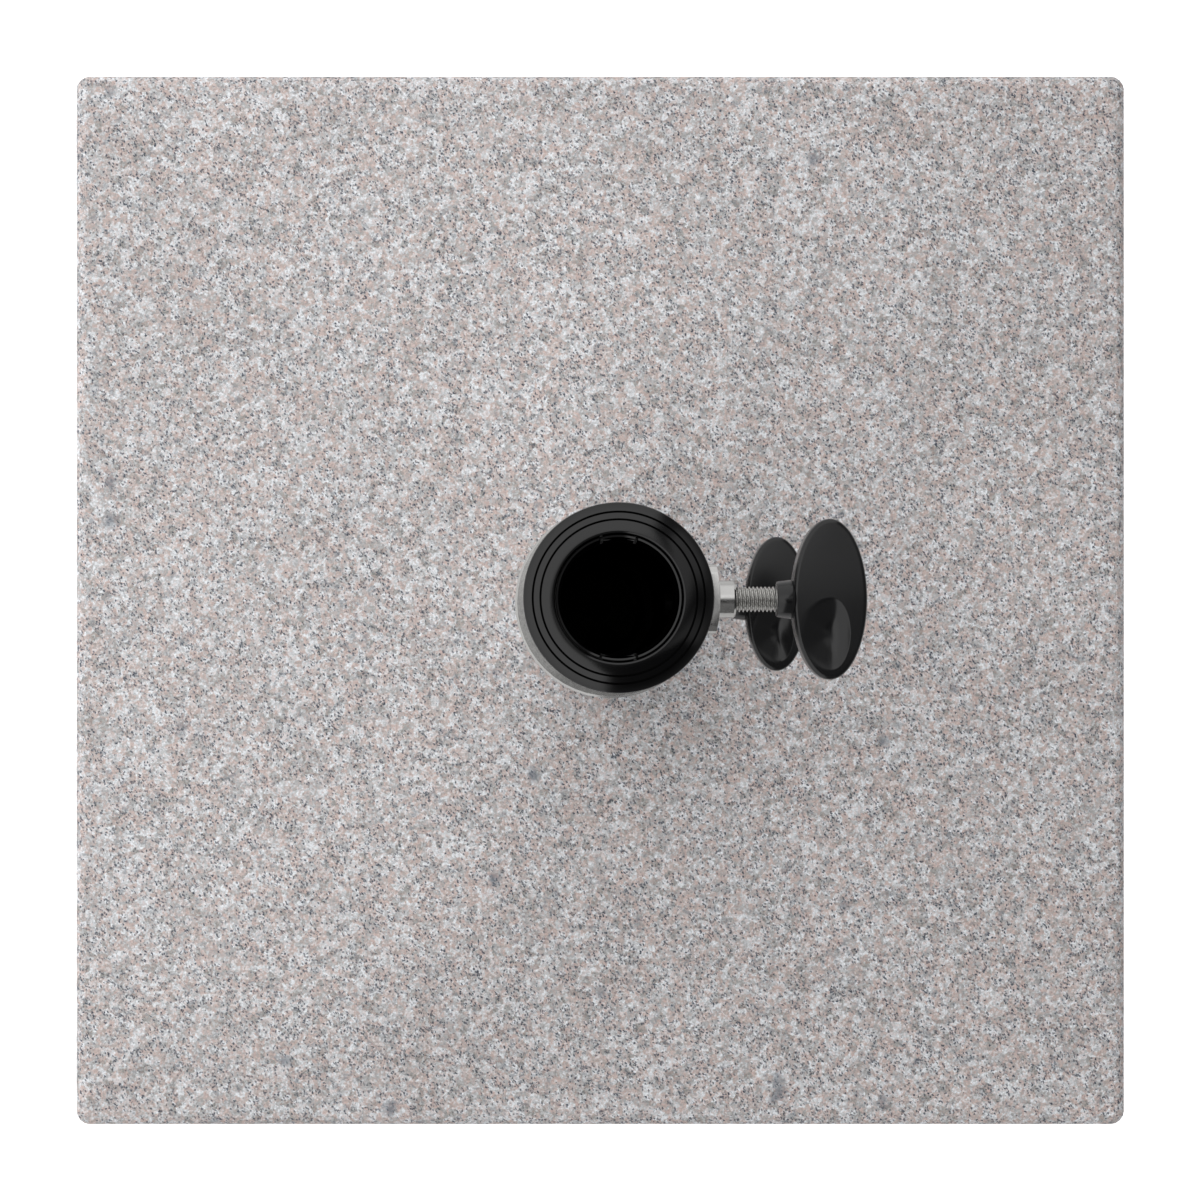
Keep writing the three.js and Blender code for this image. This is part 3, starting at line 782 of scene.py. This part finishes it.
def lip_arc(node, top, start, end):
    """Part of the lip between two angles in degrees from +X."""
    profile = [
        (LIP_OUTER_RADIUS, top),
        (LIP_INNER_RADIUS, top - LIP_FALL),
        (LIP_INNER_RADIUS, top - LIP_HEIGHT),
        (LIP_OUTER_RADIUS, top - LIP_HEIGHT),
    ]
    rows = []
    for angle in np.radians(np.linspace(start, end, LIP_STEPS)):
        x, y = math.cos(angle), math.sin(angle)
        rows.append([(pipe_axis.x + r * x, pipe_axis.y + r * y, z) for r, z in profile])
    mesh = grid_mesh(node + "_lip", np.array(rows))
    smooth_faces(mesh, sharp_above=30)
    return mesh


def slope_top(mesh, top):
    """Lowers the sleeve's top edge, more inside than outside."""
    outer_fall, inner_fall = SLEEVE_TOP_FALLS
    build = bmesh.new()
    build.from_mesh(mesh)
    bmesh.ops.triangulate(build, faces=build.faces)
    for vert in build.verts:
        if vert.co.z > top - SLEEVE_TOP_BAND:
            reach = math.hypot(vert.co.x - pipe_axis.x, vert.co.y - pipe_axis.y)
            vert.co.z -= inner_fall if reach < LIP_INNER_RADIUS else outer_fall
    build.to_mesh(mesh)
    build.free()


def reducer_piece(node):
    """The CAD's reducer sleeve with its top cut back steeply, and the lip in four parts between slits."""
    piece = smooth_copy(node)
    _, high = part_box(node)
    slope_top(piece.data, high.z)
    slits = [-SLIT_DEGREES, SLIT_DEGREES, 180 - SLIT_DEGREES, 180 + SLIT_DEGREES, 360 - SLIT_DEGREES]
    for start, end in zip(slits, slits[1:]):
        join_into(piece, lip_arc(node, high.z, start + SLIT_HALF_DEGREES, end - SLIT_HALF_DEGREES))
    return dress(piece, node, CAP_LOOK)


REFINED = {
    "reducer_sleeve": reducer_piece,
    "upper_rod": threaded_rod,
    "lower_rod": threaded_rod,
    "upper_knob": knob_piece,
    "lower_knob": knob_piece,
    "top_cap": cap_piece,
}
for node in sorted(frame["nodes"]):
    REFINED.get(node, plain_piece)(node)


# ---------------------------------------------------------------- studio

FLOOR_HALF = 6.0
FLOOR_GAP = 0.2 * MM


def build_floor():
    half = FLOOR_HALF
    corners = [(-half, -half, 0), (half, -half, 0), (half, half, 0), (-half, half, 0)]
    mesh = bpy.data.meshes.new("floor")
    mesh.from_pydata(corners, [], [(0, 1, 2, 3)])
    floor = new_piece("floor", mesh)
    floor.location.z = -FLOOR_GAP
    mesh.materials.append(floor_material())


KEY_PLACE = (-1.05, 0.95, 1.35)
KEY_TARGET = (0, 0, 0.1)
KEY_SIZE = 2.6
KEY_WATTS = 13.0


def build_key_light():
    """A broad soft light from the upper left that polished pieces don't mirror."""
    data = bpy.data.lights.new("key", "AREA")
    data.shape = "DISK"
    data.size = KEY_SIZE
    data.energy = KEY_WATTS
    lamp = new_piece("key", data)
    lamp.location = KEY_PLACE
    lamp.visible_glossy = False
    beam = Vector(KEY_TARGET) - Vector(KEY_PLACE)
    lamp.rotation_euler = beam.to_track_quat("-Z", "Y").to_euler()


# Brightness of the studio round the zenith, by direction in degrees from +X towards +Y:
# a broad softbox over the top and left, a panel at upper right, a dimmer one at lower right,
# and dark flags between them.
SOFTBOX = 1.30
STUDIO_RING = [
    (-180, SOFTBOX),
    (-97, SOFTBOX),
    (-91, 0.06),
    (-30, 0.04),
    (-25, 0.42),
    (-17, 0.38),
    (-8, 0.16),
    (0, 0.07),
    (8, 0.16),
    (22, 0.62),
    (45, 0.68),
    (50, 0.20),
    (58, 0.16),
    (63, SOFTBOX),
    (180, SOFTBOX),
]
# The pattern leans round towards the zenith, and below it the walls are paler than the flags.
RING_HEIGHT = math.cos(math.radians(18))
RING_LEAN = 4.0
WALL = 0.17
WALL_SHARE = 0.42
WALL_POWER = 3.0
WALL_BLEND = (0.86, 0.94)
BACKDROP = 0.98
# Straight above, the tone falls from +Y to -Y over a narrow band.
ZENITH_TONES = (0.20, 0.64)
ZENITH_BAND = (-0.02, 0.06)
ZENITH_BLEND = (0.9925, 0.9990)


def studio_ring(g, x, y, z):
    """Brightness by direction round the zenith."""
    around = g.math("ARCTAN2", y, x)
    lean = g.math("MULTIPLY", g.math("SUBTRACT", z, RING_HEIGHT), RING_LEAN)
    leaning = g.math("ADD", around, g.math("MAXIMUM", lean, 0.0))
    share = g.math("ADD", g.math("DIVIDE", leaning, 2 * math.pi), 0.5)
    stops = [(degrees / 360 + 0.5, value) for degrees, value in STUDIO_RING]
    return g.ramp(share, stops)


def build_world():
    """The studio by direction, and a plain bright backdrop for the camera."""
    world = bpy.data.worlds.new("studio")
    bpy.context.scene.world = world
    world.use_nodes = True
    g = Graph(world.node_tree, "Generated")
    x, y, z = g.split()
    ring = studio_ring(g, x, y, z)
    wall = g.line(g.math("POWER", ring, WALL_POWER), WALL_SHARE, WALL)
    room = g.blend(g.soft_step(z, WALL_BLEND, (0, 1)), wall, ring)
    zenith = g.soft_step(y, ZENITH_BAND, ZENITH_TONES)
    room = g.blend(g.soft_step(z, ZENITH_BLEND, (0, 1)), room, zenith)
    seen = g.node("ShaderNodeLightPath").outputs["Is Camera Ray"]
    background = g.tree.nodes["Background"]
    background.inputs["Color"].default_value = (1, 1, 1, 1)
    g.wire(g.blend(seen, room, BACKDROP), background.inputs["Strength"])


# The camera stands straight above, at the height and offset that the photo's perspective gives.
CAMERA_HEIGHT = 0.900
CAMERA_X = -0.0148
CAMERA_Y = -0.0127
CAMERA_SHIFT = (0.0258, 0.0225)
CAMERA_LENS = 56.90
SENSOR_WIDTH = 36.0


def build_camera():
    camera = bpy.data.cameras.new("camera")
    camera.sensor_width = SENSOR_WIDTH
    camera.lens = CAMERA_LENS
    camera.clip_start = 0.01
    camera.shift_x, camera.shift_y = CAMERA_SHIFT
    holder = new_piece("camera", camera)
    holder.location = (CAMERA_X, CAMERA_Y, slab_top + CAMERA_HEIGHT)
    bpy.context.scene.camera = holder


build_floor()
build_world()
build_key_light()
build_camera()
bpy.context.scene.view_settings.view_transform = "Standard"
